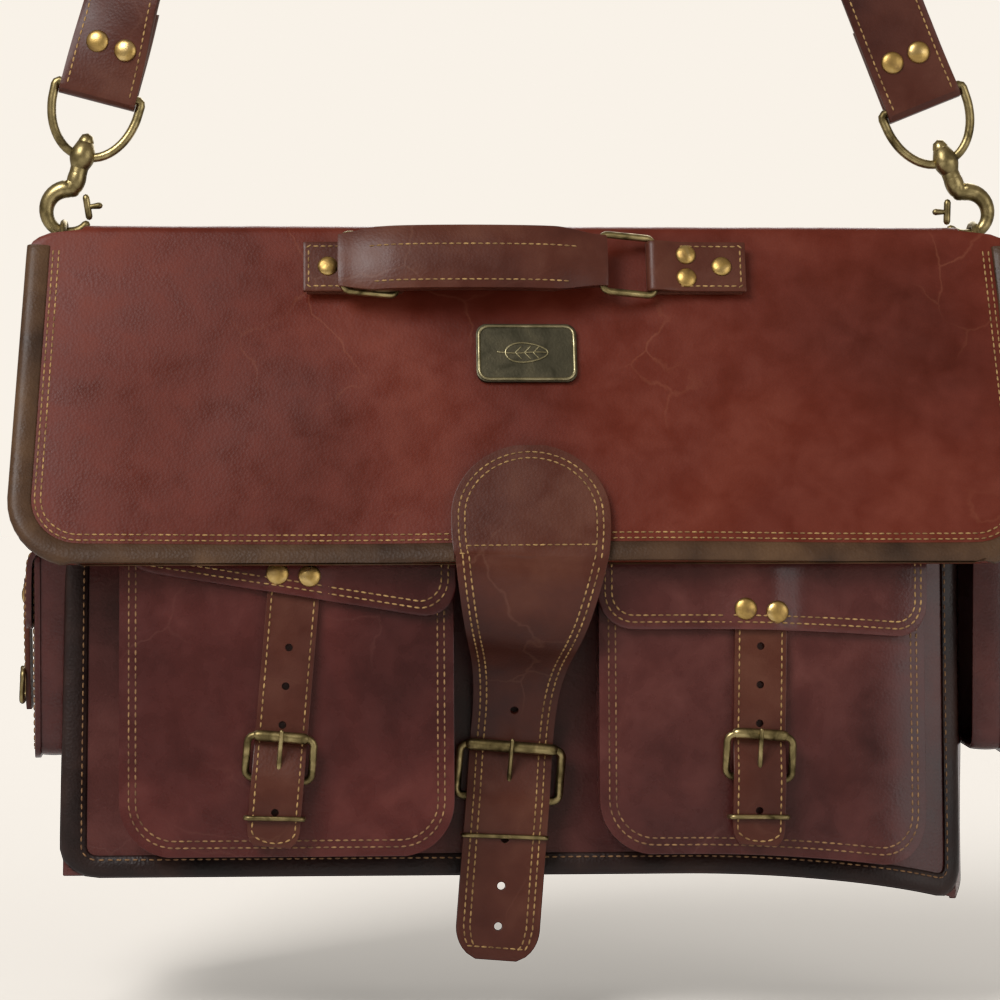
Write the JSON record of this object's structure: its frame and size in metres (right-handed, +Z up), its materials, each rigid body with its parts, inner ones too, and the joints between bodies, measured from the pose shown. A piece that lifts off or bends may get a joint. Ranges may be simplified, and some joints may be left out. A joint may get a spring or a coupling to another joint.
{
  "type": "satchel bag",
  "caption": "Leather satchel bag with a full flap, buckled front and side pockets, a top handle and a clip-on shoulder strap, hanging by the strap.",
  "frame": {"origin": "where the shoulder strap rests on the peg or shoulder that holds the bag up", "axes": "+Z up, +X to the right of someone who faces the front of the bag, which faces -Y"},
  "size_m": [0.4626, 0.1445, 0.9032],
  "materials": {
    "flap_leather": "waxed smooth saddle leather, red-brown, scuffed",
    "body_leather": "oxblood leather, half gloss, fine grain",
    "strap_leather": "dark brown harness leather, half gloss",
    "binding_leather": "thin folded edge binding, matt",
    "lining": "plain woven cotton",
    "antique_brass": "aged brass, worn bright on the edges",
    "bronze_plate": "dark patinated bronze"
  },
  "bodies": {
    "shoulder_strap": {"strap_long": "strap_leather", "strap_short": "strap_leather", "strap_buckle_frame": "antique_brass", "strap_keeper": "antique_brass", "left_hook_loop": "antique_brass", "right_hook_loop": "antique_brass"},
    "strap_buckle_prong": {"strap_buckle_prong": "antique_brass"},
    "left_hook": {"left_hook": "antique_brass"},
    "left_hook_gate": {"left_hook_gate": "antique_brass"},
    "right_hook": {"right_hook": "antique_brass"},
    "right_hook_gate": {"right_hook_gate": "antique_brass"},
    "bag": {"base_panel": "body_leather", "back_panel": "body_leather", "front_panel": "body_leather", "left_gusset": "body_leather", "right_gusset": "body_leather", "divider": "lining", "flap_roof": "flap_leather", "front_binding": "binding_leather", "left_d_ring_tab": "strap_leather", "right_d_ring_tab": "strap_leather", "left_pocket": "body_leather", "right_pocket": "body_leather", "left_side_pocket": "body_leather", "right_side_pocket": "body_leather", "left_buckle_chape": "strap_leather", "right_buckle_chape": "strap_leather", "closure_buckle_chape": "strap_leather", "left_keeper": "antique_brass", "right_keeper": "antique_brass", "closure_keeper": "antique_brass"},
    "left_d_ring": {"left_d_ring": "antique_brass"},
    "right_d_ring": {"right_d_ring": "antique_brass"},
    "flap": {"main_flap": "flap_leather", "flap_binding": "binding_leather", "badge_plate": "bronze_plate", "closure_strap_head": "strap_leather", "handle_tab_left": "strap_leather", "handle_tab_right": "strap_leather"},
    "handle_ring_left": {"handle_ring_left": "antique_brass"},
    "handle_ring_right": {"handle_ring_right": "antique_brass"},
    "handle_grip": {"handle_grip": "strap_leather"},
    "closure_strap": {"closure_strap": "strap_leather"},
    "left_pocket_flap": {"left_pocket_flap": "body_leather"},
    "left_pocket_strap": {"left_pocket_strap": "strap_leather"},
    "left_side_flap": {"left_side_pocket_flap": "body_leather", "left_side_strap": "strap_leather"},
    "right_pocket_flap": {"right_pocket_flap": "body_leather"},
    "right_pocket_strap": {"right_pocket_strap": "strap_leather"},
    "right_side_flap": {"right_side_pocket_flap": "body_leather", "right_side_strap": "strap_leather"},
    "closure_buckle_frame": {"closure_buckle_frame": "antique_brass"},
    "closure_buckle_roller": {"closure_buckle_roller": "antique_brass"},
    "closure_buckle_prong": {"closure_buckle_prong": "antique_brass"},
    "left_buckle_frame": {"left_buckle_frame": "antique_brass"},
    "left_buckle_roller": {"left_buckle_roller": "antique_brass"},
    "left_buckle_prong": {"left_buckle_prong": "antique_brass"},
    "right_buckle_frame": {"right_buckle_frame": "antique_brass"},
    "right_buckle_roller": {"right_buckle_roller": "antique_brass"},
    "right_buckle_prong": {"right_buckle_prong": "antique_brass"}
  },
  "joints": [
    {"name": "bag_swing", "type": "hinge", "parent": "shoulder_strap", "child": "bag", "pos_m": [0.04071, 0, -0.57461], "axis": [1, 0, 0], "range_deg": [-20, 20]},
    {"name": "flap_hinge", "type": "hinge", "parent": "bag", "child": "flap", "pos_m": [0.04071, -0.017, -0.57291], "axis": [-1, 0, 0], "range_deg": [0, 120]},
    {"name": "closure_strap_hang", "type": "hinge", "parent": "flap", "child": "closure_strap", "pos_m": [0.04071, -0.08241, -0.72564], "axis": [-1, 0, 0], "range_deg": [-120, 0], "deforming": ["closure_strap"]},
    {"name": "left_pocket_flap_hinge", "type": "hinge", "parent": "bag", "child": "left_pocket_flap", "pos_m": [-0.06618, -0.02573, -0.71376], "axis": [-1, 0, 0], "range_deg": [0, 78]},
    {"name": "left_pocket_strap_hang", "type": "hinge", "parent": "left_pocket_flap", "child": "left_pocket_strap", "pos_m": [-0.06318, -0.06722, -0.73624], "axis": [-1, 0, 0], "range_deg": [-78, 0], "deforming": ["left_pocket_strap"]},
    {"name": "left_side_flap_hinge", "type": "hinge", "parent": "bag", "child": "left_side_flap", "pos_m": [-0.16359, 0.005, -0.71691], "axis": [0, 1, 0], "range_deg": [0, 85]},
    {"name": "left_d_ring_pivot", "type": "hinge", "parent": "bag", "child": "left_d_ring", "pos_m": [-0.16719, 0, -0.59091], "axis": [0, 1, 0], "range_deg": [0, 3]},
    {"name": "left_hook_swivel", "type": "hinge", "parent": "shoulder_strap", "child": "left_hook", "pos_m": [-0.16719, 0, -0.57461], "axis": [0.2504, 0, 0.9681], "range_deg": [-30, 30]},
    {"name": "left_hook_gate_hinge", "type": "hinge", "parent": "left_hook", "child": "left_hook_gate", "pos_m": [-0.15727, 0, -0.56087], "axis": [0, 1, 0], "range_deg": [0, 20], "stiffness_Nm_per_rad": 0.02, "springref_deg": -17.19},
    {"name": "right_pocket_flap_hinge", "type": "hinge", "parent": "bag", "child": "right_pocket_flap", "pos_m": [0.14475, -0.02573, -0.71376], "axis": [-1, 0, 0], "range_deg": [0, 78]},
    {"name": "right_pocket_strap_hang", "type": "hinge", "parent": "right_pocket_flap", "child": "right_pocket_strap", "pos_m": [0.14275, -0.0688, -0.75015], "axis": [-1, 0, 0], "range_deg": [-78, 0], "deforming": ["right_pocket_strap"]},
    {"name": "right_side_flap_hinge", "type": "hinge", "parent": "bag", "child": "right_side_flap", "pos_m": [0.24501, 0.005, -0.71691], "axis": [0, -1, 0], "range_deg": [0, 85]},
    {"name": "right_d_ring_pivot", "type": "hinge", "parent": "bag", "child": "right_d_ring", "pos_m": [0.24861, 0, -0.59091], "axis": [0, 1, 0], "range_deg": [-3, 0]},
    {"name": "right_hook_swivel", "type": "hinge", "parent": "shoulder_strap", "child": "right_hook", "pos_m": [0.24861, 0, -0.57461], "axis": [-0.3746, 0, 0.9272], "range_deg": [-30, 30]},
    {"name": "right_hook_gate_hinge", "type": "hinge", "parent": "right_hook", "child": "right_hook_gate", "pos_m": [0.23699, 0, -0.56228], "axis": [0, -1, 0], "range_deg": [0, 20], "stiffness_Nm_per_rad": 0.02, "springref_deg": -17.19},
    {"name": "closure_buckle_frame_tilt", "type": "hinge", "parent": "bag", "child": "closure_buckle_frame", "pos_m": [0.03256, -0.04319, -0.83064], "axis": [0.9967, -0.0092, -0.0808], "range_deg": [0, 45]},
    {"name": "closure_buckle_roller_spin", "type": "hinge", "parent": "closure_buckle_frame", "child": "closure_buckle_roller", "pos_m": [0.03443, -0.04509, -0.80736], "axis": [0.9967, -0.0092, -0.0808], "continuous": true},
    {"name": "closure_buckle_prong_hinge", "type": "hinge", "parent": "closure_buckle_frame", "child": "closure_buckle_prong", "pos_m": [0.03256, -0.04319, -0.83064], "axis": [0.9967, -0.0092, -0.0808], "range_deg": [0, 60]},
    {"name": "left_buckle_frame_tilt", "type": "hinge", "parent": "bag", "child": "left_buckle_frame", "pos_m": [-0.0702, -0.07772, -0.81737], "axis": [0.9963, -0.0096, -0.0849], "range_deg": [0, 45]},
    {"name": "left_buckle_roller_spin", "type": "hinge", "parent": "left_buckle_frame", "child": "left_buckle_roller", "pos_m": [-0.06861, -0.07952, -0.79862], "axis": [0.9963, -0.0096, -0.0849], "continuous": true},
    {"name": "left_buckle_prong_hinge", "type": "hinge", "parent": "left_buckle_frame", "child": "left_buckle_prong", "pos_m": [-0.0702, -0.07772, -0.81737], "axis": [0.9963, -0.0096, -0.0849], "range_deg": [0, 60]},
    {"name": "right_buckle_frame_tilt", "type": "hinge", "parent": "bag", "child": "right_buckle_frame", "pos_m": [0.14086, -0.07772, -0.81737], "axis": [0.9996, -0.0031, -0.0277], "range_deg": [0, 45]},
    {"name": "right_buckle_roller_spin", "type": "hinge", "parent": "right_buckle_frame", "child": "right_buckle_roller", "pos_m": [0.14138, -0.07951, -0.79856], "axis": [0.9996, -0.0031, -0.0277], "continuous": true},
    {"name": "right_buckle_prong_hinge", "type": "hinge", "parent": "right_buckle_frame", "child": "right_buckle_prong", "pos_m": [0.14086, -0.07772, -0.81737], "axis": [0.9996, -0.0031, -0.0277], "range_deg": [0, 60]},
    {"name": "strap_buckle_prong_hinge", "type": "hinge", "parent": "shoulder_strap", "child": "strap_buckle_prong", "pos_m": [-0.11027, -0.00545, -0.34659], "axis": [0.9098, -0.342, -0.2353], "range_deg": [0, 60]},
    {"name": "handle_ring_left_hinge", "type": "hinge", "parent": "flap", "child": "handle_ring_left", "pos_m": [-0.01729, -0.02896, -0.59291], "axis": [0, 0.3665, 0.9304], "range_deg": [0, 150]},
    {"name": "handle_grip_hinge", "type": "hinge", "parent": "handle_ring_left", "child": "handle_grip", "pos_m": [-0.04106, -0.03448, -0.59074], "axis": [0, 0.3665, 0.9304], "range_deg": [-150, 0]},
    {"name": "handle_ring_right_hinge", "type": "hinge", "parent": "flap", "child": "handle_ring_right", "pos_m": [0.09871, -0.02896, -0.59291], "axis": [0, 0.3665, 0.9304], "range_deg": [0, 150]}
  ],
  "couplings": [
    {"joint": "closure_strap_hang", "follows": "flap_hinge", "ratio": -1},
    {"joint": "left_pocket_flap_hinge", "follows": "flap_hinge", "ratio": 0.65},
    {"joint": "left_pocket_strap_hang", "follows": "flap_hinge", "ratio": -0.65},
    {"joint": "right_pocket_flap_hinge", "follows": "flap_hinge", "ratio": 0.65},
    {"joint": "right_pocket_strap_hang", "follows": "flap_hinge", "ratio": -0.65},
    {"joint": "handle_grip_hinge", "follows": "handle_ring_left_hinge", "ratio": -1},
    {"joint": "handle_ring_right_hinge", "follows": "handle_ring_left_hinge", "ratio": 1}
  ]
}
